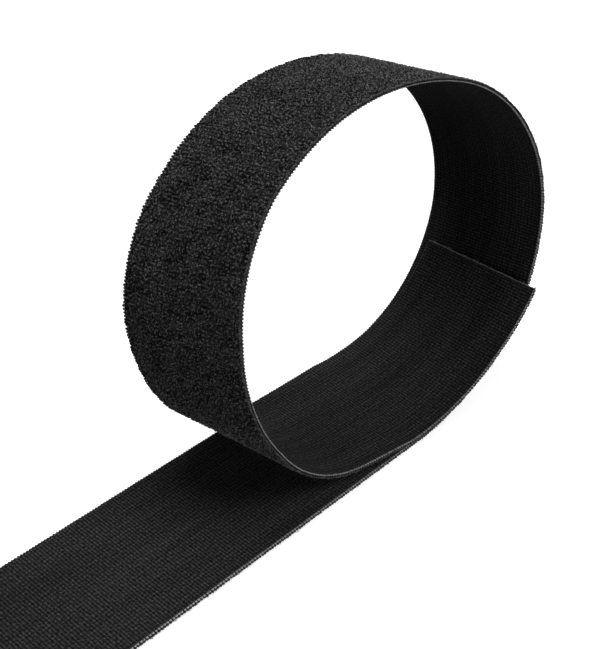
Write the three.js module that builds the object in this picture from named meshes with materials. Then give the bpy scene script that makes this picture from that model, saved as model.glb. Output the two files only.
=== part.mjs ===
// A length of black loop tape, one end lying flat and the rest curled up into one open turn.
// The tape is woven: a flat ground with a soft looped pile on one face and a bound selvedge along
// each edge. Both cut ends are sealed. It bends anywhere, so it is divided across its width into
// short stretches, and each boundary between two stretches is a bending line.
// X runs along the flat tail towards the curl, Y across the tape, Z up. Millimetres.

import * as THREE from "three";

// Tape section
const tapeWidth = 50;
const pileHeight = 0.95;
const groundThickness = 0.45;
const selvedgeWidth = 1.4;
const selvedgeThickness = 0.75;
const layerClearance = 0.1;

// Sealed ends
const sealLength = 1.2;
const sealThickness = 1.1;

// Slit left at each bending line, so that neighbouring stretches never touch
const bendLineSlit = 0.3;

// Flat tail, from its cut end to the place where the tape starts to rise
const tailLeadLength = 95;
const tailBedLength = 105;

// Curl: nine equal stretches of an outer turn, then an inner layer that lies inside the first two of them
const stretchLength = 42.5;
const innerEndLength = 27;

// How the inner layer lies: it starts to rise this far before the outer layer, keeps this gap inside it,
// and its free end springs out, which adds this much to its bending radius
const innerLead = 4;
const innerGap = 1.9;
const innerEndSpring = 7.8;

// Stretches of the outer turn in order from the tail: how far each bends up and over, and how far it
// twists about its own length, both in degrees
const rise = { name: "rise", bend: 33, twist: -6.5 };
const rightWall = { name: "right_wall", bend: 43, twist: -4 };
const outerTurn = [
  rise,
  rightWall,
  { name: "right_shoulder", bend: 46, twist: 0 },
  { name: "crown_right", bend: 39, twist: 1.5 },
  { name: "crown", bend: 27, twist: 2.5 },
  { name: "crown_left", bend: 32, twist: 1.5 },
  { name: "left_shoulder", bend: 43, twist: -6 },
  { name: "left_wall", bend: 42, twist: 0.5 },
  { name: "left_heel", bend: 53, twist: 9 },
];

// Stretches of the inner layer in the same order; the bend of its free end follows from its radius
const overlapFloor = { name: "overlap_floor", bend: 2, twist: 4.5 };
const overlapRise = { name: "overlap_rise", bend: 35, twist: -7 };
const overlapEnd = { name: "overlap_end", twist: 0.5 };

// Facets of one curved stretch
const stepsAlong = 10;
const stepsAcross = 5;

// Heights above the pile face, and distances from the middle of the tape
const tapeThickness = pileHeight + layerClearance + groundThickness;
const groundLow = pileHeight + layerClearance;
const selvedgeLow = tapeThickness - selvedgeThickness;
const sealLow = (tapeThickness - sealThickness) / 2;
const edge = tapeWidth / 2;
const selvedgeInner = edge - selvedgeWidth;
const bodyEdge = selvedgeInner - layerClearance;

// Materials
const pileMaterial = new THREE.MeshStandardMaterial({ color: 0x1c1c1d, roughness: 1, metalness: 0 });
const groundMaterial = new THREE.MeshStandardMaterial({ color: 0x232324, roughness: 0.85, metalness: 0 });
const selvedgeMaterial = new THREE.MeshStandardMaterial({ color: 0x4a4a4b, roughness: 0.8, metalness: 0 });
const sealMaterial = new THREE.MeshStandardMaterial({ color: 0x111112, roughness: 0.5, metalness: 0 });

// A stretch bends and twists at a constant rate, so its middle line is a piece of a helix.
class Stretch {
  constructor(name, length, bend, twist, start) {
    this.name = name;
    this.length = length;
    const turn = new THREE.Vector3(THREE.MathUtils.degToRad(twist), -THREE.MathUtils.degToRad(bend), 0);
    this.turnAngle = turn.length();
    this.turnAxis = turn.lengthSq() > 0 ? turn.normalize() : new THREE.Vector3(0, 1, 0);
    this.start = start;
  }

  // Middle of the tape's thickness at a distance along the stretch, and the turn of the tape there:
  // its own X runs along the tape, Y across it and Z from the pile towards the ground.
  frameAt(distance) {
    const angle = (this.turnAngle * distance) / this.length;
    const offset = new THREE.Vector3(distance, 0, 0);
    if (!this.isFlat) {
      const radius = this.length / this.turnAngle;
      const sideways = new THREE.Vector3().crossVectors(this.turnAxis, new THREE.Vector3(1, 0, 0));
      const inwards = new THREE.Vector3().crossVectors(this.turnAxis, sideways);
      offset.addScaledVector(sideways, radius * (1 - Math.cos(angle)));
      offset.addScaledVector(inwards, distance - radius * Math.sin(angle));
    }
    offset.applyQuaternion(this.start.rotation).add(this.start.position);
    const rotation = new THREE.Quaternion().setFromAxisAngle(this.turnAxis, angle);
    return { position: offset, rotation: rotation.premultiply(this.start.rotation) };
  }

  get isFlat() {
    return this.turnAngle === 0;
  }
}

// A bar of the tape between two distances along a stretch, two distances across and two heights
function tapeBar(stretch, along, across, height) {
  const length = along[1] - along[0];
  const lengthSteps = stretch.isFlat ? 1 : Math.max(1, Math.round((stepsAlong * length) / stretch.length));
  const width = across[1] - across[0];
  const widthSteps = stretch.isFlat ? 1 : Math.max(1, Math.round((stepsAcross * width) / tapeWidth));
  const thickness = height[1] - height[0];
  const geometry = new THREE.BoxGeometry(width, thickness, length, widthSteps, 1, lengthSteps);
  geometry.translate((across[0] + across[1]) / 2, (height[0] + height[1]) / 2, (along[0] + along[1]) / 2);
  const corners = geometry.getAttribute("position");
  const corner = new THREE.Vector3();
  for (let index = 0; index < corners.count; index += 1) {
    corner.fromBufferAttribute(corners, index);
    const frame = stretch.frameAt(corner.z);
    const local = new THREE.Vector3(0, corner.x, corner.y - tapeThickness / 2);
    const placed = local.applyQuaternion(frame.rotation).add(frame.position);
    corners.setXYZ(index, placed.x, placed.y, placed.z);
  }
  geometry.computeVertexNormals();
  return geometry;
}

function addPiece(group, name, geometry, material) {
  const mesh = new THREE.Mesh(geometry, material);
  mesh.name = name;
  group.add(mesh);
}

// The four woven pieces of a stretch, between two distances along it
function addWovenPieces(group, stretch, along) {
  const bodyWidth = [-bodyEdge, bodyEdge];
  const groundHeight = [groundLow, tapeThickness];
  const selvedgeHeight = [selvedgeLow, tapeThickness];
  const pile = tapeBar(stretch, along, bodyWidth, [0, pileHeight]);
  const ground = tapeBar(stretch, along, bodyWidth, groundHeight);
  const front = tapeBar(stretch, along, [-edge, -selvedgeInner], selvedgeHeight);
  const back = tapeBar(stretch, along, [selvedgeInner, edge], selvedgeHeight);
  addPiece(group, `${stretch.name}_pile`, pile, pileMaterial);
  addPiece(group, `${stretch.name}_ground`, ground, groundMaterial);
  addPiece(group, `${stretch.name}_front_selvedge`, front, selvedgeMaterial);
  addPiece(group, `${stretch.name}_back_selvedge`, back, selvedgeMaterial);
}

function addSeal(group, name, stretch, along) {
  const seal = tapeBar(stretch, along, [-edge, edge], [sealLow, sealLow + sealThickness]);
  addPiece(group, name, seal, sealMaterial);
}

// Flat tail first, then each stretch of the curl from the end of the one before it
const level = new THREE.Quaternion();
const midHeight = tapeThickness / 2;
const bedStart = { position: new THREE.Vector3(-tailBedLength / 2, 0, midHeight), rotation: level };
const leadX = bedStart.position.x - tailLeadLength;
const leadStart = { position: new THREE.Vector3(leadX, 0, midHeight), rotation: level };
const stretches = [
  new Stretch("tail_lead", tailLeadLength, 0, 0, leadStart),
  new Stretch("tail_bed", tailBedLength, 0, 0, bedStart),
];

function addStretch(name, length, bend, twist) {
  const previous = stretches[stretches.length - 1];
  const start = previous.frameAt(previous.length);
  stretches.push(new Stretch(name, length, bend, twist, start));
}

function bendRadius(part) {
  return stretchLength / THREE.MathUtils.degToRad(part.bend);
}

for (const part of outerTurn) {
  addStretch(part.name, stretchLength, part.bend, part.twist);
}

// The inner layer runs on along the tail, rises inside the outer layer and springs out at its free end
const heel = stretches[stretches.length - 1];
const heelEnd = heel.frameAt(heel.length).position;
const floorLength = tailBedLength / 2 - innerLead - heelEnd.x;
addStretch(overlapFloor.name, floorLength, overlapFloor.bend, overlapFloor.twist);
const innerRadius = bendRadius(rise) - tapeThickness - innerGap;
const innerRiseLength = innerRadius * THREE.MathUtils.degToRad(overlapRise.bend);
addStretch(overlapRise.name, innerRiseLength, overlapRise.bend, overlapRise.twist);
const innerEndRadius = bendRadius(rightWall) + innerEndSpring;
const innerEndBend = THREE.MathUtils.radToDeg(innerEndLength / innerEndRadius);
addStretch(overlapEnd.name, innerEndLength, innerEndBend, overlapEnd.twist);

const tape = new THREE.Group();
const halfSlit = bendLineSlit / 2;
const first = stretches[0];
const last = stretches[stretches.length - 1];
for (const stretch of stretches) {
  const from = stretch === first ? sealLength + layerClearance : halfSlit;
  const to = stretch === last ? last.length - sealLength - layerClearance : stretch.length - halfSlit;
  addWovenPieces(tape, stretch, [from, to]);
}
addSeal(tape, "tail_end_seal", first, [0, sealLength]);
addSeal(tape, "inner_end_seal", last, [last.length - sealLength, last.length]);

export default tape;
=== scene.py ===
"""Looks for a length of black loop tape: its tail lies flat and the rest is one open curl.

The tape's path repeats the stretches of the part, so every visible piece lies where its solids are.
A visible piece runs from the middle of one stretch to the middle of the next one. X runs along the tail
towards the curl, Y across the tape, Z up. Metres.
"""

import logging
import math
from dataclasses import dataclass, field, replace
from enum import Enum

import bpy
import numpy as np
from mathutils import Matrix, Vector


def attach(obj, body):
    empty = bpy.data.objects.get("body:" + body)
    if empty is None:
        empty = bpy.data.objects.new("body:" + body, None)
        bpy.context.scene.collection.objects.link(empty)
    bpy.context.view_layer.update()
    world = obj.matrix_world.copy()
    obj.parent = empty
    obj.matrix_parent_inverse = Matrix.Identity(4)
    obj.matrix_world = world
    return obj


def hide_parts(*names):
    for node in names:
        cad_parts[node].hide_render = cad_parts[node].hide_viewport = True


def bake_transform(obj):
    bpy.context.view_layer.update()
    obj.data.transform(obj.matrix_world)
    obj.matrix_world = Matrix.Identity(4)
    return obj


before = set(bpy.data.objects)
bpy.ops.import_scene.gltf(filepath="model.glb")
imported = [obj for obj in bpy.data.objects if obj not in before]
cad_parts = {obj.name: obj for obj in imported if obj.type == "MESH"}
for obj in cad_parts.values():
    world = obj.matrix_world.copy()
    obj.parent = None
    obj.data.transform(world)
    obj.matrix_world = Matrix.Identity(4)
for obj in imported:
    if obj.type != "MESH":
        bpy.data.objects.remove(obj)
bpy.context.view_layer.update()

MM = 0.001
PATTERN_MAP = "tape"
EXPORT_MAP = "OFBake"
SMOOTH_ANGLE = math.radians(70)

Object = bpy.types.Object
Material = bpy.types.Material
Socket = bpy.types.NodeSocket
Array = np.ndarray
Numbers = Array | float
Pair = tuple[float, float]
Place = tuple[float, float, float]
Input = Socket | float | tuple[float, ...]

log = logging.getLogger("tape")


class TapeEdge(Enum):
    """The two woven edges, by the side of the tape's middle that they lie on."""

    FRONT = -1
    BACK = 1


class TapeEnd(Enum):
    """The two cut ends."""

    TAIL = "tail_end"
    INNER = "inner_end"


class Layer(Enum):
    """The woven layers of the tape, as the part names them."""

    GROUND = "ground"
    PILE = "pile"
    FRONT_SELVEDGE = "front_selvedge"
    BACK_SELVEDGE = "back_selvedge"


@dataclass(frozen=True)
class TapeSizes:
    """Section of the tape. Heights are above its pile face."""

    width: float = 50 * MM
    pile_height: float = 0.95 * MM
    ground_thickness: float = 0.45 * MM
    layer_clearance: float = 0.1 * MM
    weave_edge: float = 24.35 * MM
    rib_pitch: float = 1.08 * MM
    pile_row_pitch: float = 1.28 * MM
    cut_lip: float = 0.4 * MM

    @property
    def thickness(self) -> float:
        """Height of the ribbed face above the pile face."""
        return self.pile_height + self.layer_clearance + self.ground_thickness

    @property
    def edge(self) -> float:
        """Distance of an edge from the middle of the tape."""
        return self.width / 2


@dataclass(frozen=True)
class Bend:
    """How far a stretch bends up and over and how far it twists, in degrees."""

    name: str
    bend: float
    twist: float


TAIL_LEAD = "tail_lead"
TAIL_BED = "tail_bed"
RISE = Bend("rise", 33, -6.5)
RIGHT_WALL = Bend("right_wall", 43, -4)
OUTER_TURN = (
    RISE,
    RIGHT_WALL,
    Bend("right_shoulder", 46, 0),
    Bend("crown_right", 39, 1.5),
    Bend("crown", 27, 2.5),
    Bend("crown_left", 32, 1.5),
    Bend("left_shoulder", 43, -6),
    Bend("left_wall", 42, 0.5),
    Bend("left_heel", 53, 9),
)
OVERLAP_FLOOR = Bend("overlap_floor", 2, 4.5)
OVERLAP_RISE = Bend("overlap_rise", 35, -7)
OVERLAP_END_TWIST = 0.5


@dataclass(frozen=True)
class Stretch:
    """A length of tape that bends and twists at a constant rate, so its middle is a piece of a helix."""

    name: str
    begins: float
    length: float
    turn: Array
    place: Array
    axes: Array

    @property
    def middle(self) -> float:
        """Distance of the stretch's middle from the tail's cut end."""
        return self.begins + self.length / 2

    @property
    def ends(self) -> float:
        """Distance of the stretch's end from the tail's cut end."""
        return self.begins + self.length

    def carry(self, distance: Array, across: Array, rise: Array) -> Array:
        """Carries points of the flat tape onto the stretch.

        Args:
            distance: Distances along the stretch from its beginning.
            across: Distances from the middle of the tape.
            rise: Heights above the middle of the tape's thickness.

        Returns:
            The points in the part's frame, one row each.
        """
        zero = np.zeros_like(distance)
        offset = np.stack([zero, across, rise], axis=1)
        middle = np.stack([distance, zero, zero], axis=1)
        spin = float(np.linalg.norm(self.turn))
        if spin > 0:
            axis = self.turn / spin
            radius = self.length / spin
            angle = (distance / radius)[:, None]
            sideways = np.cross(axis, (1.0, 0.0, 0.0))
            inwards = np.cross(axis, sideways)
            middle = middle + radius * (1 - np.cos(angle)) * sideways
            middle = middle + (distance[:, None] - radius * np.sin(angle)) * inwards
            along_axis = (offset @ axis)[:, None] * axis
            offset = (
                offset * np.cos(angle)
                + np.cross(axis, offset) * np.sin(angle)
                + along_axis * (1 - np.cos(angle))
            )
        return self.place + (middle + offset) @ self.axes.T

    def end_axes(self) -> Array:
        """The tape's own axes at the end of the stretch, one in each column."""
        spin = float(np.linalg.norm(self.turn))
        if spin == 0:
            return self.axes
        return self.axes @ np.array(Matrix.Rotation(spin, 3, Vector(self.turn)))


@dataclass(frozen=True)
class Span:
    """A visible length of tape that crosses one bending line at most."""

    name: str
    first: float
    last: float
    bodies: tuple[str, ...]
    bend_first: float = 0.0
    bend_last: float = 0.0

    @property
    def length(self) -> float:
        """Length along the tape."""
        return self.last - self.first

    @property
    def held(self) -> str:
        """How the tape is held here: laid flat on the tail, folded over in the curl."""
        return "laid" if self.bodies[-1] in (TAIL_LEAD, TAIL_BED) else "folded"

    def spread(self, share: Array) -> Array:
        """Spreads numbers from -0.5 to 0.5 over the span, as distances from the tail's cut end."""
        return self.first + (share + 0.5) * self.length

    def piece(self, layer: Layer) -> str:
        """Name of a layer's visible piece."""
        return f"{self.name}_{layer.value}"

    def nodes(self, layer: Layer) -> list[str]:
        """Names of the part's nodes that a layer of this span stands for."""
        return [f"{body}_{layer.value}" for body in self.bodies]


@dataclass
class TapePath:
    """The way that the tape lies, from the tail's cut end to the inner end."""

    sizes: TapeSizes = field(default_factory=TapeSizes)
    tail_lead: float = 95 * MM
    tail_bed: float = 105 * MM
    stretch_length: float = 42.5 * MM
    inner_end_length: float = 27 * MM
    inner_lead: float = 4 * MM
    inner_gap: float = 1.9 * MM
    inner_end_spring: float = 7.8 * MM
    fold_reach: float = 18 * MM
    bed_reach: float = 7 * MM
    stretches: list[Stretch] = field(default_factory=list)

    def __post_init__(self) -> None:
        """Lays the stretches end to end."""
        start = np.array([-self.tail_bed / 2 - self.tail_lead, 0.0, self.sizes.thickness / 2])
        flat = np.zeros(3)
        self.stretches.append(Stretch(TAIL_LEAD, 0.0, self.tail_lead, flat, start, np.eye(3)))
        self._add(Bend(TAIL_BED, 0, 0), self.tail_bed)
        for part in OUTER_TURN:
            self._add(part, self.stretch_length)
        heel_end = self.points(np.array([self.length]), 0.0, self.sizes.thickness / 2)[0]
        self._add(OVERLAP_FLOOR, self.tail_bed / 2 - self.inner_lead - heel_end[0])
        inner_radius = self._radius(RISE) - self.sizes.thickness - self.inner_gap
        self._add(OVERLAP_RISE, inner_radius * math.radians(OVERLAP_RISE.bend))
        end_radius = self._radius(RIGHT_WALL) + self.inner_end_spring
        end_bend = math.degrees(self.inner_end_length / end_radius)
        self._add(Bend("overlap_end", end_bend, OVERLAP_END_TWIST), self.inner_end_length)

    @property
    def length(self) -> float:
        """Length of the tape that is laid so far."""
        return self.stretches[-1].ends

    def _radius(self, part: Bend) -> float:
        """Bending radius of a stretch of the outer turn."""
        return self.stretch_length / math.radians(part.bend)

    def _add(self, part: Bend, length: float) -> None:
        """Adds a stretch at the end of the last one.

        Args:
            part: The stretch's name, bend and twist.
            length: Its length along the tape.
        """
        last = self.stretches[-1]
        zero = np.zeros(1)
        place = last.carry(np.array([last.length]), zero, zero)[0]
        turn = np.radians([part.twist, -part.bend, 0.0])
        self.stretches.append(Stretch(part.name, last.ends, length, turn, place, last.end_axes()))

    def points(self, along: Array, across: Numbers, height: Numbers) -> Array:
        """Places points of the flat tape in the part's frame.

        Args:
            along: Distances from the tail's cut end.
            across: Distances from the middle of the tape.
            height: Heights above the pile face.

        Returns:
            The points, one row each.
        """
        across = np.broadcast_to(across, along.shape)
        rise = np.broadcast_to(height, along.shape) - self.sizes.thickness / 2
        begins = np.array([stretch.begins for stretch in self.stretches])
        index = np.clip(np.searchsorted(begins, along, side="right") - 1, 0, None)
        placed = np.empty((len(along), 3))
        for number, stretch in enumerate(self.stretches):
            here = index == number
            placed[here] = stretch.carry(along[here] - stretch.begins, across[here], rise[here])
        return placed

    def on_rib(self, along: float) -> float:
        """The groove between two ribs that lies nearest to a distance along the tape."""
        return round(along / self.sizes.rib_pitch) * self.sizes.rib_pitch

    def spans(self) -> list[Span]:
        """The visible lengths of tape, which meet in grooves between ribs.

        Returns:
            The spans in order from the tail's cut end.
        """
        first, last = self.stretches[0], self.stretches[-1]
        reach = {TAIL_LEAD: self.fold_reach, TAIL_BED: self.bed_reach}
        spans = [Span(TapeEnd.TAIL.value, self.sizes.cut_lip, self.on_rib(first.middle), (first.name,))]
        for before, after in zip(self.stretches, self.stretches[1:]):
            spans.append(
                Span(
                    f"{before.name}_to_{after.name}",
                    self.on_rib(before.middle),
                    self.on_rib(after.middle),
                    (before.name, after.name),
                    after.begins - reach.get(before.name, before.length / 2),
                    after.begins + reach.get(after.name, after.length / 2),
                )
            )
        inner_cut = self.length - self.sizes.cut_lip
        spans.append(Span(TapeEnd.INNER.value, self.on_rib(last.middle), inner_cut, (last.name,)))
        return spans


@dataclass(frozen=True)
class SoftNoise:
    """Smooth seeded noise over the flat tape, from -1 to 1."""

    along_step: float
    across_step: float
    seed: int
    columns: int = 400
    margin: int = 2

    def at(self, along: Array, across: Array) -> Array:
        """Reads the noise at points of the flat tape.

        Args:
            along: Distances from the tail's cut end.
            across: Distances from the middle of the tape.

        Returns:
            One value for each point.
        """
        rows = along / self.along_step + self.margin
        columns = across / self.across_step + self.columns // 2
        shape = (int(rows.max()) + self.margin + 1, self.columns)
        values = np.random.default_rng(self.seed).uniform(-1, 1, shape)
        row, column = rows.astype(int), columns.astype(int)
        down, over = self.eased(rows - row), self.eased(columns - column)
        near = values[row, column] * (1 - over) + values[row, column + 1] * over
        far = values[row + 1, column] * (1 - over) + values[row + 1, column + 1] * over
        return near * (1 - down) + far * down

    @staticmethod
    def eased(share: Array) -> Array:
        """Gives shares from 0 to 1 a soft start and end."""
        return share * share * (3 - 2 * share)


class NodeGraph:
    """The nodes of a material or of the world, with short ways to add and join them."""

    def __init__(self, tree: bpy.types.NodeTree) -> None:
        """Keeps the tree that the nodes go into."""
        self.tree = tree

    def fill(self, target: Socket, value: Input) -> None:
        """Sets a plain value on an input, or joins another node's output to it.

        Args:
            target: The input.
            value: The value or the output.
        """
        if isinstance(value, Socket):
            self.tree.links.new(value, target)
        else:
            target.default_value = value

    def fill_first(self, node: bpy.types.Node, *inputs: Input) -> None:
        """Fills a node's inputs in their order."""
        for target, value in zip(node.inputs, inputs):
            self.fill(target, value)

    def fill_named(self, node: bpy.types.Node, **inputs: Input) -> None:
        """Fills a node's inputs, by their names with spaces as underscores."""
        for name, value in inputs.items():
            self.fill(node.inputs[name.replace("_", " ")], value)

    def add(self, kind: str, **inputs: Input) -> bpy.types.Node:
        """Adds a node.

        Args:
            kind: The node's type, without the word that all of them begin with.
            inputs: What its inputs get, by their names with spaces as underscores.

        Returns:
            The node.
        """
        node = self.tree.nodes.new(f"ShaderNode{kind}")
        self.fill_named(node, **inputs)
        return node

    def number(self, operation: str, first: Input, second: Input = 0.0) -> Socket:
        """Works on one or two numbers.

        Args:
            operation: Name of the Math node's operation.
            first: A socket or a plain number.
            second: A socket or a plain number.

        Returns:
            The result's socket.
        """
        node = self.add("Math")
        node.operation = operation
        self.fill_first(node, first, second)
        return node.outputs["Value"]

    def ramp(self, factor: Socket, limits: Pair, greys: Pair, way: str = "SMOOTHSTEP") -> Socket:
        """Turns a number into a grey that goes from one to another between two of its values.

        Args:
            factor: The number's socket.
            limits: The two values.
            greys: The greys at and beyond them.
            way: Name of the Map Range node's interpolation.

        Returns:
            The grey's socket.
        """
        node = self.add("MapRange", Value=factor, From_Min=limits[0], From_Max=limits[1])
        self.fill_named(node, To_Min=greys[0], To_Max=greys[1])
        node.interpolation_type = way
        return node.outputs["Result"]


class FinishGraph(NodeGraph):
    """The nodes of one of the tape's finishes, with a plain shader at their end."""

    # The angle that the Wave node turns by in one unit of its place, and how far its bands are tangled
    wave_radians: float = 20.0
    tangle: float = 9.0
    tangle_detail: float = 1.0
    tangle_fineness: float = 1.5

    def __init__(self, name: str, roughness: float, specular: float) -> None:
        """Starts the finish's material.

        Args:
            name: Name of the material.
            roughness: Roughness of its surface.
            specular: Strength of its reflections.
        """
        self.material = bpy.data.materials.new(name)
        self.material.use_nodes = True
        super().__init__(self.material.node_tree)
        self.shader = self.tree.nodes["Principled BSDF"]
        self.fill_named(self.shader, Roughness=roughness, Specular_IOR_Level=specular)

    def tape_map(self) -> Socket:
        """The place on the flat tape: along and across, in metres."""
        node = self.add("UVMap")
        node.uv_map = PATTERN_MAP
        return node.outputs["UV"]

    def point_value(self, name: str) -> Socket:
        """A number that the mesh holds at its points."""
        node = self.add("Attribute")
        node.attribute_name = name
        return node.outputs["Fac"]

    def split(self, place: Socket) -> tuple[Socket, Socket]:
        """The along and across parts of a place."""
        node = self.add("SeparateXYZ", Vector=place)
        return node.outputs["X"], node.outputs["Y"]

    def turns(self, distance: Socket, pitch: float) -> Socket:
        """An angle that turns round once in each pitch of a distance."""
        return self.number("MULTIPLY", distance, math.tau / pitch)

    def product(self, first: Socket, *others: Socket) -> Socket:
        """The product of two or more numbers."""
        for other in others:
            first = self.number("MULTIPLY", first, other)
        return first

    def measured(self, place: Socket, size: Pair) -> Socket:
        """Measures a place on the flat tape by a length along it and a length across it."""
        scale = (1 / size[0], 1 / size[1], 1.0)
        return self.add("Mapping", Vector=place, Scale=scale).outputs["Vector"]

    def noise(self, place: Socket, size: Pair) -> Socket:
        """Noise in patches of about a size along and across the tape."""
        return self.add("TexNoise", Vector=self.measured(place, size), Scale=1.0).outputs["Fac"]

    def curls(self, place: Socket, direction: str) -> Socket:
        """Tangled strands that lie about one unit of place apart, from 0 between them to 1 on their crests.

        Args:
            place: Coordinate to read the strands at.
            direction: Axis, X or Y, that the strands would lie side by side along if they ran straight.

        Returns:
            Socket with the strands' height.
        """
        node = self.add("TexWave", Vector=place, Scale=math.tau / self.wave_radians)
        self.fill_named(node, Distortion=self.tangle, Detail=self.tangle_detail)
        self.fill_named(node, Detail_Scale=self.tangle_fineness)
        node.bands_direction = direction
        return node.outputs["Fac"]

    def finished(self, grey: Socket, height: Socket, depth: float) -> Material:
        """Gives the shader its colour and its relief.

        Args:
            grey: The colour.
            height: The relief.
            depth: What a height of 1 stands for, in metres.

        Returns:
            The material.
        """
        relief = self.add("Bump", Height=height, Distance=depth)
        self.fill_named(self.shader, Base_Color=grey, Normal=relief.outputs["Normal"])
        return self.material


WHOLE_WAVE = (-1.0, 1.0)
MOST_NOISE = (0.3, 0.7)
MID_NOISE = (0.35, 0.65)


@dataclass(frozen=True)
class WeaveFinish:
    """Black woven ground: ribs across the tape, with painted shade in the grooves between them, crossed by
    faint lines of warp yarn along it.
    """

    rib_pitch: float
    warp_pitch: float = 1.45 * MM
    # Painted shade: the grooves between ribs are darker than their crests.
    groove_shade_grey: float = 0.011
    crest_grey: float = 0.032
    crest_limits: Pair = (-1.0, 0.8)
    dash: Pair = (0.9 * MM, 0.6 * MM)
    streak: Pair = (40 * MM, 0.9 * MM)
    band: Pair = (60 * MM, 7 * MM)
    fibre: Pair = (0.12 * MM, 0.4 * MM)
    dash_spread: float = 0.6
    line_spread: float = 0.2
    streak_spread: float = 0.13
    roughness: float = 0.8
    specular: float = 0.01
    warp_depth: float = 0.05 * MM

    def material(self) -> Material:
        """Makes the finish.

        Returns:
            The material, which reads the tape map.
        """
        graph = FinishGraph("ground_weave", self.roughness, self.specular)
        place = graph.tape_map()
        along, across = graph.split(place)
        # Painted shade: each rib darkens from its crest down into the grooves.
        groove = graph.number("COSINE", graph.turns(along, self.rib_pitch))
        crest = graph.number("MULTIPLY", groove, -1.0)
        rib = graph.ramp(crest, self.crest_limits, (self.groove_shade_grey, self.crest_grey))
        warp = graph.number("SINE", graph.turns(across, self.warp_pitch))
        rib_number = graph.number("FLOOR", graph.number("DIVIDE", along, self.rib_pitch))
        odd_turn = graph.number("MULTIPLY", graph.number("MODULO", rib_number, 2.0), math.pi)
        yarns = graph.turns(across, self.warp_pitch / 2)
        knuckles = graph.number("SINE", graph.number("ADD", yarns, odd_turn))
        patterns = (
            (graph.noise(place, self.dash), MOST_NOISE, self.dash_spread),
            (warp, WHOLE_WAVE, self.line_spread),
            (knuckles, WHOLE_WAVE, self.line_spread),
            (graph.noise(place, self.streak), MID_NOISE, self.streak_spread),
            (graph.noise(place, self.band), MOST_NOISE, self.streak_spread),
        )
        tones = [
            graph.ramp(pattern, limits, (1 - spread, 1 + spread)) for pattern, limits, spread in patterns
        ]
        relief = graph.number("ADD", graph.number("ADD", warp, knuckles), graph.noise(place, self.fibre))
        return graph.finished(graph.product(rib, *tones), relief, self.warp_depth)


@dataclass(frozen=True)
class PileFinish:
    """Soft black pile: tangled strands on a mat and loops, with painted shade deep in the pile: dark at the
    loops' roots, on the mat and in the gaps between strands, so the loops are greyer at their tips.
    """

    row_pitch: float
    # Painted shade from the loops' dark roots up to their greyer tips.
    root_shade_grey: float = 0.0006
    tip_grey: float = 0.096
    tip_limits: Pair = (0.0, 0.6)
    loop_tones: Pair = (0.55, 1.45)
    row_tones: Pair = (1.2, 0.8)
    patch: Pair = (9 * MM, 9 * MM)
    patch_tones: Pair = (0.85, 1.15)
    strand_size: Pair = (0.75 * MM, 0.75 * MM)
    strand_limits: Pair = (0.6, 1.0)
    # Painted shade in the gaps between strands, lighter on their crests.
    strand_tones: Pair = (0.02, 1.7)
    strand_depth: float = 0.15 * MM
    loop_limits: Pair = (0.3, 0.5)
    loop_strand: Pair = (0.0, 0.8)
    roughness: float = 0.75

    def material(self) -> Material:
        """Makes the finish.

        Returns:
            The material, which reads how far each point is up its loop, for the painted shade at the roots,
            and each loop's own tone.
        """
        graph = FinishGraph("loop_pile", self.roughness, specular=0.0)
        place = graph.tape_map()
        up_loop = graph.point_value("up_loop")
        row_wave = graph.number("COSINE", graph.turns(graph.split(place)[0], self.row_pitch))
        strand_place = graph.measured(place, self.strand_size)
        strands = graph.number("MAXIMUM", graph.curls(strand_place, "X"), graph.curls(strand_place, "Y"))
        strands = graph.number("MAXIMUM", strands, graph.ramp(up_loop, self.loop_limits, self.loop_strand))
        grey = graph.product(
            # Painted shade: dark at the loops' roots and on the mat, greyer at the loops' tips.
            graph.ramp(up_loop, self.tip_limits, (self.root_shade_grey, self.tip_grey)),
            graph.ramp(graph.point_value("tone"), (0.0, 1.0), self.loop_tones),
            graph.ramp(row_wave, WHOLE_WAVE, self.row_tones),
            graph.ramp(graph.noise(place, self.patch), MOST_NOISE, self.patch_tones),
            # Painted shade: nearly black in the gaps between the strands.
            graph.ramp(strands, self.strand_limits, self.strand_tones),
        )
        return graph.finished(grey, strands, self.strand_depth)


@dataclass(frozen=True)
class SelvedgeFinish:
    """Woven edge: the turns of a paler weft over a dark edge cord."""

    cord_grey: float = 0.006
    weft_grey: float = 0.36
    fibre: Pair = (0.15 * MM, 0.5 * MM)
    fibre_tones: Pair = (0.75, 1.25)
    fibre_depth: float = 0.05 * MM
    roughness: float = 0.55
    specular: float = 0.05

    def material(self) -> Material:
        """Makes the finish.

        Returns:
            The material, which reads each turn's own tone.
        """
        graph = FinishGraph("selvedge", self.roughness, self.specular)
        grey = graph.ramp(graph.point_value("tone"), (0.0, 1.0), (self.cord_grey, self.weft_grey))
        fibres = graph.noise(graph.tape_map(), self.fibre)
        grey = graph.product(grey, graph.ramp(fibres, MOST_NOISE, self.fibre_tones))
        return graph.finished(grey, fibres, self.fibre_depth)


@dataclass(frozen=True)
class SealFinish:
    """Cut end melted shut: a thin lip, uneven and a little glossy."""

    dark_grey: float = 0.03
    pale_grey: float = 0.16
    drop: Pair = (0.6 * MM, 1.6 * MM)
    drop_depth: float = 0.1 * MM
    roughness: float = 0.5
    specular: float = 0.3

    def material(self) -> Material:
        """Makes the finish.

        Returns:
            The material, which reads the tape map.
        """
        graph = FinishGraph("sealed_end", self.roughness, self.specular)
        drops = graph.noise(graph.tape_map(), self.drop)
        grey = graph.ramp(drops, MID_NOISE, (self.dark_grey, self.pale_grey))
        return graph.finished(grey, drops, self.drop_depth)


def make_active(obj: Object) -> None:
    """Selects one object alone and makes it the active one."""
    bpy.ops.object.select_all(action="DESELECT")
    obj.select_set(True)
    bpy.context.view_layer.objects.active = obj


def mesh_points(obj: Object) -> Array:
    """The points of an object's mesh, one row each."""
    points = np.empty(len(obj.data.vertices) * 3)
    obj.data.vertices.foreach_get("co", points)
    return points.reshape(-1, 3)


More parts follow.
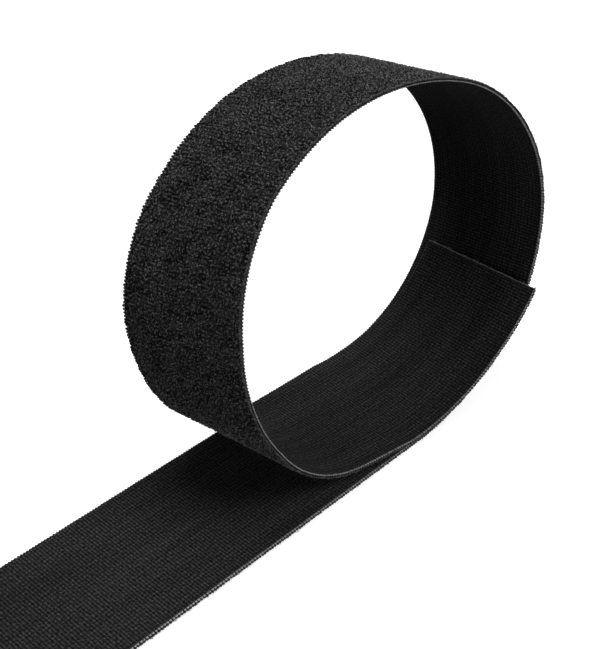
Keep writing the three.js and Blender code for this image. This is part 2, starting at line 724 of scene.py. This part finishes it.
def thicken(sheet: Object, thickness: float, offset: float) -> None:
    """Gives a sheet its thickness, with smooth faces and sharp borders.

    Args:
        sheet: The sheet.
        thickness: Its thickness.
        offset: The side that the thickness goes to, -1 or 1.
    """
    wall = sheet.modifiers.new("thickness", "SOLIDIFY")
    wall.thickness = thickness
    wall.offset = offset
    make_active(sheet)
    bpy.ops.object.modifier_apply(modifier=wall.name)
    bpy.ops.object.shade_smooth_by_angle(angle=SMOOTH_ANGLE)


def join(obj: Object, *others: Object) -> None:
    """Joins other objects' meshes to an object's own.

    Args:
        obj: The object that stays.
        others: The objects that go into it.
    """
    make_active(obj)
    for other in others:
        other.select_set(True)
    bpy.ops.object.join()


def add_grid(rows: int, columns: int) -> Object:
    """Adds a flat grid of one metre, with its rows along X."""
    bpy.ops.mesh.primitive_grid_add(x_subdivisions=rows, y_subdivisions=columns, size=1.0, calc_uvs=False)
    return bpy.context.object


def add_bar(sides: int, cuts: int) -> Object:
    """Adds a round bar along X, one metre long and one metre in radius, with cuts across it.

    Args:
        sides: Number of its sides.
        cuts: Number of cuts between its ends.

    Returns:
        The bar.
    """
    length = 1.0
    bpy.ops.mesh.primitive_cylinder_add(
        vertices=sides, radius=1.0, depth=length, rotation=(0, math.pi / 2, 0), calc_uvs=False
    )
    bar = bpy.context.object
    bpy.ops.object.transform_apply(rotation=True)
    bpy.ops.object.mode_set(mode="EDIT")
    bpy.ops.mesh.select_mode(type="EDGE")
    bpy.ops.mesh.select_all(action="DESELECT")
    bpy.ops.object.mode_set(mode="OBJECT")
    for edge in bar.data.edges:
        ends = [bar.data.vertices[index].co.x for index in edge.vertices]
        edge.select = abs(ends[0] - ends[1]) > length / 2
    bpy.ops.object.mode_set(mode="EDIT")
    bpy.ops.mesh.subdivide(number_cuts=cuts)
    bpy.ops.object.mode_set(mode="OBJECT")
    return bar


@dataclass(frozen=True)
class YarnTurn:
    """Half a ring of yarn, modelled once: each point is a place on the ring's middle and a step off it."""

    middles: Array
    steps: Array
    faces: list[tuple[int, ...]]

    @classmethod
    def model(cls, parts: int, sides: int) -> "YarnTurn":
        """Models the turn as the upper half of a ring that stands upright on X, with its crown along Z.

        Args:
            parts: Number of parts along the half ring.
            sides: Number of sides of the yarn.

        Returns:
            The turn, of radius 1 and with a yarn of radius 1.
        """
        yarn = 0.3
        on_plane = 0.001
        bpy.ops.mesh.primitive_torus_add(
            major_segments=2 * parts,
            minor_segments=sides,
            major_radius=1.0,
            minor_radius=yarn,
            rotation=(math.pi / 2, 0, 0),
            generate_uvs=False,
        )
        ring = bpy.context.object
        bpy.ops.object.transform_apply(rotation=True)
        bpy.ops.object.mode_set(mode="EDIT")
        bpy.ops.mesh.select_all(action="SELECT")
        bpy.ops.mesh.bisect(
            plane_co=(0, 0, 0), plane_no=(0, 0, 1), use_fill=True, clear_inner=True, threshold=on_plane
        )
        bpy.ops.object.mode_set(mode="OBJECT")
        points = mesh_points(ring)
        faces = [tuple(face.vertices) for face in ring.data.polygons]
        bpy.data.objects.remove(ring)
        middles = points * (1.0, 0.0, 1.0)
        middles = middles / np.linalg.norm(middles, axis=1)[:, None]
        return cls(middles, (points - middles) / yarn, faces)

    def copies(self, count: int) -> Object:
        """Makes one object of many copies of the turn, whose points are placed later.

        Args:
            count: Number of copies.

        Returns:
            The object.
        """
        size = len(self.middles)
        corners = np.concatenate(self.faces)
        totals = np.tile([len(face) for face in self.faces], count)
        mesh = bpy.data.meshes.new("turns")
        mesh.vertices.add(count * size)
        mesh.loops.add(len(corners) * count)
        mesh.loops.foreach_set("vertex_index", (corners + size * np.arange(count)[:, None]).ravel())
        mesh.polygons.add(len(totals))
        mesh.polygons.foreach_set("loop_start", np.cumsum(totals) - totals)
        mesh.update(calc_edges=True)
        turns = bpy.data.objects.new("turns", mesh)
        bpy.context.scene.collection.objects.link(turns)
        return turns


@dataclass
class TapePiece:
    """What the visible pieces of the tape share: laying on the path, maps and dressing."""

    path: TapePath
    material: Material

    def lay(
        self, obj: Object, span: Span, along: Array, across: Array, height: Array, shift: Numbers = 0.0
    ) -> None:
        """Lays a mesh on the tape's path and gives it its maps.

        Args:
            obj: The mesh's object.
            span: The length of tape that it belongs to.
            along: Each point's distance from the tail's cut end.
            across: Each point's distance from the middle of the tape.
            height: Each point's height above the pile face.
            shift: How far each point is moved on along the tape, without its maps.
        """
        along, across, height = along.ravel(), across.ravel(), height.ravel()
        obj.data.vertices.foreach_set("co", self.path.points(along + shift, across, height).ravel())
        obj.data.update()
        corners = np.empty(len(obj.data.loops), dtype=np.int32)
        obj.data.loops.foreach_get("vertex_index", corners)
        share = (along - span.first) / span.length
        breadth = across / self.path.sizes.width + 0.5
        for name, first, second in ((PATTERN_MAP, along, across), (EXPORT_MAP, share, breadth)):
            layer = obj.data.uv_layers.new(name=name)
            layer.data.foreach_set("uv", np.stack([first, second], axis=1)[corners].ravel())

    @staticmethod
    def hold(obj: Object, name: str, values: Numbers) -> None:
        """Keeps a number at each point of a mesh, for its finish."""
        attribute = obj.data.attributes.new(name, "FLOAT", "POINT")
        spread = np.broadcast_to(values, len(obj.data.vertices))
        attribute.data.foreach_set("value", spread.astype(np.float32))

    def dress(self, obj: Object, span: Span, name: str, slot: str, *nodes: str) -> None:
        """Names and finishes a piece, and attaches it to the span's body when the span has only one.

        Args:
            obj: The piece.
            span: The length of tape that it belongs to.
            name: Its name.
            slot: The record's material slot; not used.
            nodes: The part's nodes that it stands for.
        """
        obj.name = name
        obj.data.name = name
        obj.data.materials.clear()
        obj.data.materials.append(self.material)
        make_active(obj)
        bpy.ops.object.shade_smooth(keep_sharp_edges=True)
        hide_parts(*nodes)
        if len(span.bodies) == 1:
            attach(obj, span.bodies[0])
        else:
            middle = self.path.sizes.thickness / 2
            ends = self.path.points(np.array([span.bend_first, span.bend_last]), 0.0, middle)
            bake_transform(obj)
        log.info("%s: %d faces", obj.name, len(obj.data.polygons))


@dataclass
class GroundWeave(TapePiece):
    """The flat woven body of the tape, ribbed across on its bare face."""

    rows_per_rib: int = 4
    columns: int = 38
    rib_depth: float = 0.14 * MM
    rib_roundness: float = 0.8
    rib_evenness: float = 0.7
    knuckle_width: float = 1.2 * MM
    rib_wander: float = 0.1 * MM
    wander_noise: SoftNoise = SoftNoise(8 * MM, 11 * MM, seed=12)

    def build(self, span: Span) -> Object:
        """Weaves the ground of one span.

        Args:
            span: The length of tape.

        Returns:
            The ground's object.
        """
        sizes = self.path.sizes
        sheet = add_grid(round(self.rows_per_rib * span.length / sizes.rib_pitch), self.columns)
        points = mesh_points(sheet)
        along = span.spread(points[:, 0])
        across = points[:, 1] * 2 * sizes.weave_edge
        crest = np.abs(np.sin(math.pi * along / sizes.rib_pitch)) ** self.rib_roundness
        knuckles = SoftNoise(sizes.rib_pitch, self.knuckle_width, seed=11).at(along, across)
        uneven = self.rib_evenness + (1 - self.rib_evenness) * knuckles
        height = sizes.thickness - self.rib_depth * (1 - crest * uneven)
        self.lay(sheet, span, along, across, height, self.rib_wander * self.wander_noise.at(along, across))
        thicken(sheet, sizes.ground_thickness - self.rib_depth, offset=-1.0)
        self.dress(sheet, span, span.piece(Layer.GROUND), "ground_weave", *span.nodes(Layer.GROUND))
        return sheet


@dataclass
class LoopPile(TapePiece):
    """The mat of soft loops on the other face of the tape."""

    turn: YarnTurn
    row_blur: float = 0.2 * MM
    loop_spacing: float = 0.56 * MM
    loop_reach: float = 24.8 * MM
    loop_root: float = 0.6 * MM
    loop_tall: float = 0.7 * MM
    loop_tallest: float = 1.0 * MM
    loop_radius: float = 0.23 * MM
    yarn_radius: float = 0.105 * MM
    stray: float = 0.06 * MM
    side_scatter: Pair = (-0.4, 0.4)
    tall_scatter: Pair = (0.85, 1.1)
    radius_scatter: Pair = (0.7, 1.3)
    lean_degrees: Pair = (30, 78)
    mat_low: float = 0.5 * MM
    mat_relief: float = 0.1 * MM
    mat_columns: int = 30
    mat_edge: float = 24.6 * MM
    mat_noise: SoftNoise = SoftNoise(1.3 * MM, 1.7 * MM, seed=21)
    # The mat's place on the loops' root-to-tip painted shade: low, so it is painted dark, a little lighter
    # on its higher lumps.
    mat_shade_up_loop: float = 0.17
    lump_shade_up_loop: float = 0.1
    mat_tone: float = 0.5
    edge_overhang: float = 25.5 * MM
    spots: dict[str, Array] = field(default_factory=dict)

    def scatter(self) -> None:
        """Scatters the loops over the whole tape, in rows across it with blurred borders."""
        sizes = self.path.sizes
        rng = np.random.default_rng(seed=5)
        rows = int(self.path.length / sizes.pile_row_pitch)
        columns = int(2 * self.loop_reach / self.loop_spacing)
        shape = (rows, columns)
        count = rows * columns
        along = (np.arange(rows)[:, None] + 0.5) * sizes.pile_row_pitch
        along = along + rng.normal(0, self.row_blur, shape)
        across = np.arange(columns)[None, :] + 0.5 + rng.uniform(*self.side_scatter, shape)
        tall = self.loop_tall * rng.uniform(*self.tall_scatter, count) + rng.exponential(self.stray, count)
        self.spots = {
            "along": along.ravel().clip(sizes.cut_lip, self.path.length - sizes.cut_lip),
            "across": across.ravel() * self.loop_spacing - self.loop_reach,
            "heading": rng.uniform(0, math.tau, count),
            "lean": np.radians(rng.uniform(*self.lean_degrees, count)),
            "tall": tall.clip(max=self.loop_tallest),
            "radius": self.loop_radius * rng.uniform(*self.radius_scatter, count),
            "tone": rng.uniform(0, 1, count),
        }

    def loops(self, span: Span) -> Object:
        """Stands the loops of one span on the mat.

        Args:
            span: The length of tape.

        Returns:
            The loops' object.
        """
        here = (self.spots["along"] >= span.first) & (self.spots["along"] < span.last)
        spot = {name: values[here][:, None] for name, values in self.spots.items()}
        middles, steps = self.turn.middles[None], self.turn.steps[None] * self.yarn_radius
        reach = middles[:, :, 0] * spot["radius"] + steps[:, :, 0]
        side = steps[:, :, 1]
        stand = middles[:, :, 2] * spot["tall"] + steps[:, :, 2]
        leaning = side * np.cos(spot["lean"]) + stand * np.sin(spot["lean"])
        upright = stand * np.cos(spot["lean"]) - side * np.sin(spot["lean"])
        along = spot["along"] + reach * np.cos(spot["heading"]) - leaning * np.sin(spot["heading"])
        across = spot["across"] - reach * np.sin(spot["heading"]) - leaning * np.cos(spot["heading"])
        across = across.clip(-self.edge_overhang, self.edge_overhang)
        loops = self.turn.copies(len(along))
        self.lay(loops, span, along, across, self.loop_root - upright)
        # How far each point is up its loop, which the finish uses for the painted shade at the roots.
        self.hold(loops, "up_loop", np.broadcast_to(middles[:, :, 2], along.shape).ravel())
        self.hold(loops, "tone", np.broadcast_to(spot["tone"], along.shape).ravel())
        return loops

    def build(self, span: Span) -> Object:
        """Makes the mat of one span and joins its loops to it.

        Args:
            span: The length of tape.

        Returns:
            The pile's object.
        """
        sizes = self.path.sizes
        mat = add_grid(round(span.length / sizes.rib_pitch), self.mat_columns)
        points = mesh_points(mat)
        along = span.spread(points[:, 0])
        across = points[:, 1] * 2 * self.mat_edge
        lumps = self.mat_noise.at(along, across)
        self.lay(mat, span, along, across, self.mat_low - self.mat_relief * lumps)
        # Painted shade: the mat gets a low place up the loops, so the finish paints it dark.
        self.hold(mat, "up_loop", self.mat_shade_up_loop + self.lump_shade_up_loop * lumps)
        self.hold(mat, "tone", self.mat_tone)
        thicken(mat, sizes.pile_height - self.mat_low, offset=1.0)
        join(mat, self.loops(span))
        self.dress(mat, span, span.piece(Layer.PILE), "loop_pile", *span.nodes(Layer.PILE))
        return mat


@dataclass(frozen=True)
class WeftRow:
    """A row of weft turns along an edge: the size of a turn, the height of its row and its paleness."""

    radius: float
    reach: float
    yarn: float
    height: float
    overhang: float
    scatter: float
    tone: float


PALE_TURNS = WeftRow(
    radius=0.24 * MM,
    reach=0.45 * MM,
    yarn=0.2 * MM,
    height=1.31 * MM,
    overhang=0.14 * MM,
    scatter=0.03 * MM,
    tone=0.85,
)
DARK_TURNS = replace(PALE_TURNS, overhang=0.0, tone=0.2)
GREY_TURNS = WeftRow(
    radius=0.32 * MM,
    reach=0.46 * MM,
    yarn=0.28 * MM,
    height=0.45 * MM,
    overhang=0.2 * MM,
    scatter=0.12 * MM,
    tone=0.24,
)
ROUGH_TURNS = replace(GREY_TURNS, radius=0.2 * MM, overhang=0.3 * MM, scatter=0.2 * MM, tone=0.05)


@dataclass
class Selvedge(TapePiece):
    """A bound edge of the tape: a cord along it, wrapped by two rows of weft turns."""

    edge: TapeEdge
    upper_row: WeftRow
    lower_row: WeftRow
    turn: YarnTurn
    cord_sides: int = 8
    cord_inset: float = 0.62 * MM
    cord_half_width: float = 0.5 * MM
    cord_half_height: float = 0.4 * MM
    cord_height: float = 0.98 * MM
    cord_swell: float = 0.12
    turn_wander: float = 0.08 * MM
    tone_wander: float = 0.3
    seeds_per_mm: int = 100
    edge_seed: int = 7

    def wefts(self, span: Span, row: WeftRow) -> Object:
        """Turns the weft round the edge, once for each rib.

        Args:
            span: The length of tape.
            row: The row of turns.

        Returns:
            The turns' object.
        """
        sign = self.edge.value
        seed = round((span.first + row.height) / MM * self.seeds_per_mm) + self.edge_seed * sign
        ribs = round(span.length / self.path.sizes.rib_pitch)
        slide, inset, lift, fade = np.random.default_rng(seed).uniform(-1, 1, (4, ribs, 1))
        middle = span.first + (np.arange(ribs)[:, None] + 0.5) * span.length / ribs
        middle = middle + self.turn_wander * slide
        outer = self.path.sizes.edge + row.overhang + row.scatter * (inset - 1) / 2
        inner = outer - row.reach - row.yarn
        level = row.height + row.scatter * lift
        tone = row.tone * (1 + self.tone_wander * fade)
        yarn = self.turn.steps * row.yarn
        along = middle + sign * (self.turn.middles[:, 0] * row.radius + yarn[:, 0])
        across = sign * (inner + self.turn.middles[:, 2] * row.reach + yarn[:, 2])
        turns = self.turn.copies(ribs)
        self.lay(turns, span, along, across, level - yarn[:, 1])
        self.hold(turns, "tone", np.broadcast_to(tone, along.shape).ravel())
        return turns

    def build(self, span: Span) -> Object:
        """Makes the edge cord of one span and joins the turns of the weft to it.

        Args:
            span: The length of tape.

        Returns:
            The selvedge's object.
        """
        sizes = self.path.sizes
        cord = add_bar(self.cord_sides, 2 * round(span.length / sizes.rib_pitch) - 1)
        points = mesh_points(cord)
        along = span.spread(points[:, 0])
        swell = 1 - self.cord_swell * np.cos(math.tau * along / sizes.rib_pitch)
        middle = self.edge.value * (sizes.edge - self.cord_inset)
        across = middle + points[:, 1] * self.cord_half_width * swell
        height = self.cord_height + points[:, 2] * self.cord_half_height * swell
        self.lay(cord, span, along, across, height)
        self.hold(cord, "tone", 0.0)
        join(cord, self.wefts(span, self.upper_row), self.wefts(span, self.lower_row))
        layer = Layer.FRONT_SELVEDGE if self.edge is TapeEdge.FRONT else Layer.BACK_SELVEDGE
        self.dress(cord, span, span.piece(layer), "selvedge", *span.nodes(layer))
        return cord


@dataclass
class SealedEnd(TapePiece):
    """A cut end melted shut: a thin uneven lip across the tape, with a few frayed ends of yarn."""

    end: TapeEnd
    turn: YarnTurn
    lip_sides: int = 10
    lip_cuts: int = 140
    lip_low: float = 0.3 * MM
    lip_high: float = 1.5 * MM
    lip_half_width: float = 24.8 * MM
    unevenness: float = 0.09 * MM
    ragged: SoftNoise = SoftNoise(1 * MM, 0.7 * MM, seed=41)
    height_noise_at: float = 5 * MM
    frays: int = 16
    fray_yarn: float = 0.06 * MM
    fray_depth: float = 0.3 * MM
    fray_tall: Pair = (0.25 * MM, 0.7 * MM)
    fray_wide: Pair = (0.15 * MM, 0.4 * MM)
    fray_lean: Pair = (-0.6, 0.6)

    def frayed(self, span: Span) -> Object:
        """Lets loose ends of yarn stand out of the cut, most of them near the back edge.

        Args:
            span: The short length of tape that the lip covers.

        Returns:
            The loose yarns' object.
        """
        rng = np.random.default_rng(seed=61)
        shape = (self.frays, 1)
        place = self.lip_half_width * (1 - 2 * rng.uniform(0, 1, shape) ** 2)
        tall = rng.uniform(*self.fray_tall, shape)
        wide = rng.uniform(*self.fray_wide, shape)
        lean = rng.uniform(*self.fray_lean, shape)
        cut, outwards = (span.first, -1) if self.end is TapeEnd.TAIL else (span.last, 1)
        yarn = self.turn.steps * self.fray_yarn
        stand = self.turn.middles[:, 2] * tall + yarn[:, 2]
        along = cut + outwards * stand
        across = place + self.turn.middles[:, 0] * wide + yarn[:, 0]
        height = self.lip_high - self.fray_depth + lean * stand + outwards * yarn[:, 1]
        loose = self.turn.copies(self.frays)
        self.lay(loose, span, along, across, height)
        return loose

    def build(self, span: Span) -> Object:
        """Makes the lip.

        Args:
            span: The length of tape that ends here.

        Returns:
            The lip's object.
        """
        ends = (0.0, span.first) if self.end is TapeEnd.TAIL else (span.last, self.path.length)
        own = Span(self.end.value, *ends, span.bodies)
        lip = add_bar(self.lip_sides, self.lip_cuts)
        points = mesh_points(lip)
        across = points[:, 0] * 2 * self.lip_half_width
        along = (own.first + own.last) / 2 - points[:, 1] * own.length / 2
        along = along + self.unevenness * self.ragged.at(np.zeros_like(along), across)
        height = (self.lip_high + self.lip_low) / 2 + points[:, 2] * (self.lip_high - self.lip_low) / 2
        dips = (self.ragged.at(np.full_like(along, self.height_noise_at), across) - 1) / 2
        self.lay(lip, own, along, across, height + self.unevenness * dips)
        join(lip, self.frayed(own))
        self.dress(lip, own, f"{self.end.value}_lip", "sealed_end", f"{self.end.value}_seal")
        return lip


@dataclass(frozen=True)
class SoftLamp:
    """A square lamp: its place, the length of its side and its power in watts."""

    name: str
    place: Place
    size: float
    power: float


@dataclass
class Studio:
    """Pale floor, soft light from above and the camera at the photograph's viewing angle."""

    camera_place: Place = (-215.67 * MM, -201.83 * MM, 265.22 * MM)
    camera_yaw: float = 48.819
    camera_pitch: float = 34.813
    camera_roll: float = 2.8
    camera_near: float = 10 * MM
    focal_pixels: float = 1228.56
    long_side_pixels: float = 649.0
    sensor: float = 36.0
    floor_height: float = -0.25 * MM
    floor_size: float = 12.0
    lamps: tuple[SoftLamp, ...] = (
        SoftLamp("overhead", (0.1, 0.35, 0.95), 0.5, 5.4),
        SoftLamp("front", (0.35, -0.6, 0.7), 0.5, 6.2),
        SoftLamp("side", (-0.9, 0.0, 0.35), 0.5, 3.8),
        SoftLamp("back", (0.7, 0.6, 0.5), 0.5, 1.0),
    )
    aim: Place = (0.02, 0.0, 0.05)
    sky_strength: float = 0.02
    floor_return: float = 0.08
    floor_pale: float = 0.9
    glow: Pair = (0.5, 1.0)
    glow_reach: Pair = (0.35, 0.9)

    def build(self) -> None:
        """Builds the whole studio."""
        self.camera()
        self.floor()
        for lamp in self.lamps:
            self.hang(lamp)
        self.sky()
        bpy.context.scene.view_settings.view_transform = "Standard"

    def camera(self) -> None:
        """Sets up the camera."""
        yaw, pitch, roll = np.radians([self.camera_yaw, self.camera_pitch, self.camera_roll])
        upright = Matrix.Rotation(-yaw, 3, "Z") @ Matrix.Rotation(math.pi / 2 - pitch, 3, "X")
        data = bpy.data.cameras.new("camera")
        data.sensor_width = self.sensor
        data.lens = self.focal_pixels / self.long_side_pixels * self.sensor
        data.clip_start = self.camera_near
        camera = bpy.data.objects.new("camera", data)
        bpy.context.scene.collection.objects.link(camera)
        camera.location = self.camera_place
        camera.rotation_euler = (upright @ Matrix.Rotation(roll, 3, "Z")).to_euler()
        bpy.context.scene.camera = camera

    @staticmethod
    def seen_directly(graph: NodeGraph) -> Socket:
        """Tells rays that show the background, straight or in a reflection, from those that light the tape.

        Args:
            graph: The nodes to add the test to.

        Returns:
            A socket that is 1 for a ray that shows the background.
        """
        rays = graph.add("LightPath").outputs
        seen = graph.number("MAXIMUM", rays["Is Camera Ray"], rays["Is Glossy Ray"])
        return graph.number("MAXIMUM", seen, rays["Is Transmission Ray"])

    def floor(self) -> None:
        """Lays the floor, which is white to the eye and throws little light back up."""
        bpy.ops.mesh.primitive_plane_add(size=self.floor_size, location=(0, 0, self.floor_height))
        floor = bpy.context.object
        floor.name = "floor"
        material = bpy.data.materials.new("pale_floor")
        material.use_nodes = True
        material.node_tree.nodes.clear()
        graph = NodeGraph(material.node_tree)
        dim, pale = (
            graph.add("BsdfDiffuse", Color=(grey, grey, grey, 1)).outputs["BSDF"]
            for grey in (self.floor_return, self.floor_pale)
        )
        away = graph.add("VectorMath")
        away.operation = "LENGTH"
        graph.fill_first(away, graph.add("TexCoord").outputs["Object"])
        strength = graph.ramp(away.outputs["Value"], self.glow_reach, self.glow, "LINEAR")
        glow = graph.add("Emission", Strength=strength)
        both = graph.add("AddShader")
        graph.fill_first(both, pale, glow.outputs["Emission"])
        choice = graph.add("MixShader")
        graph.fill_first(choice, self.seen_directly(graph), dim, both.outputs["Shader"])
        graph.add("OutputMaterial", Surface=choice.outputs["Shader"])
        floor.data.materials.append(material)

    def hang(self, lamp: SoftLamp) -> None:
        """Hangs a lamp so that it faces the tape.

        Args:
            lamp: The lamp.
        """
        data = bpy.data.lights.new(lamp.name, "AREA")
        data.size = lamp.size
        data.energy = lamp.power
        hung = bpy.data.objects.new(lamp.name, data)
        bpy.context.scene.collection.objects.link(hung)
        hung.location = lamp.place
        facing = Vector(self.aim) - Vector(lamp.place)
        hung.rotation_euler = facing.to_track_quat("-Z", "Y").to_euler()

    def sky(self) -> None:
        """Surrounds the scene with white, which lights the tape only weakly."""
        world = bpy.data.worlds.new("studio")
        bpy.context.scene.world = world
        world.use_nodes = True
        world.node_tree.nodes.clear()
        graph = NodeGraph(world.node_tree)
        strength = graph.ramp(self.seen_directly(graph), (0.0, 1.0), (self.sky_strength, 1.0), "LINEAR")
        back = graph.add("Background", Color=(1, 1, 1, 1), Strength=strength)
        graph.add("OutputWorld", Surface=back.outputs["Background"])


def main() -> None:
    """Builds the studio and then the tape, span by span."""
    logging.basicConfig(level=logging.INFO, format="%(message)s")
    Studio().build()
    path = TapePath()
    sizes = path.sizes
    edge_turn = YarnTurn.model(parts=4, sides=6)
    loop_turn = YarnTurn.model(parts=4, sides=3)
    bound = SelvedgeFinish().material()
    sealed = SealFinish().material()
    ground = GroundWeave(path, WeaveFinish(sizes.rib_pitch).material())
    pile = LoopPile(path, PileFinish(sizes.pile_row_pitch).material(), loop_turn)
    front = Selvedge(path, bound, TapeEdge.FRONT, PALE_TURNS, GREY_TURNS, edge_turn)
    back = Selvedge(path, bound, TapeEdge.BACK, DARK_TURNS, ROUGH_TURNS, edge_turn)
    pile.scatter()
    spans = path.spans()
    for span in spans:
        sheet = ground.build(span)
        mat = pile.build(span)
        edges = [front.build(span), back.build(span)]
        flat = (2 * sizes.weave_edge, span.length)
    SealedEnd(path, sealed, TapeEnd.TAIL, loop_turn).build(spans[0])
    SealedEnd(path, sealed, TapeEnd.INNER, loop_turn).build(spans[-1])


if __name__ == "__main__":
    main()
